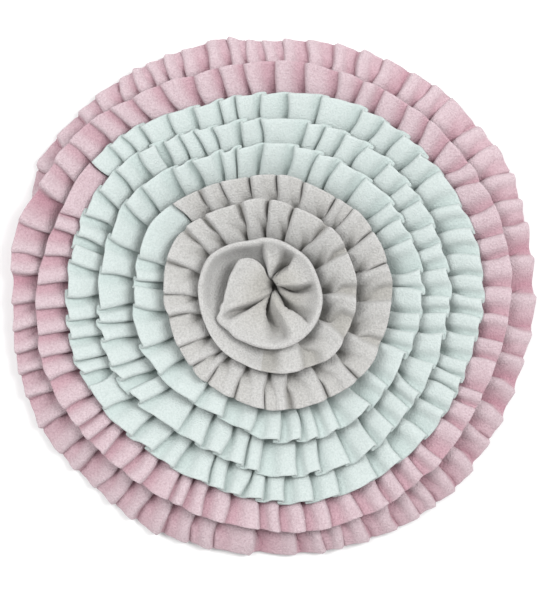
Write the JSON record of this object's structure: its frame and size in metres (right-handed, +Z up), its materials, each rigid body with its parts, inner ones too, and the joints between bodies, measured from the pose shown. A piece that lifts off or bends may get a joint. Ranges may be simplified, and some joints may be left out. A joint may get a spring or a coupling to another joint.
{
  "type": "snuffle mat",
  "caption": "Round pet snuffle mat of pleated fleece strips, sewn in one spiral that ends in a cup-shaped rosette.",
  "frame": {"origin": "the centre of the underside, on the floor that the mat lies on", "axes": "+Z points up out of the mat, +X and +Y lie in the floor; the spiral's outer end lies 150 degrees anticlockwise from +X, seen from above"},
  "size_m": [0.399, 0.3971, 0.0425],
  "materials": {
    "base_fleece": "matte",
    "pink_fleece": "matte",
    "mint_fleece": "matte",
    "grey_fleece": "matte"
  },
  "bodies": {
    "root": {"base_cloth": "base_fleece", "ruffle_pink": "pink_fleece", "ruffle_mint": "mint_fleece", "ruffle_grey": "grey_fleece"}
  },
  "joints": []
}
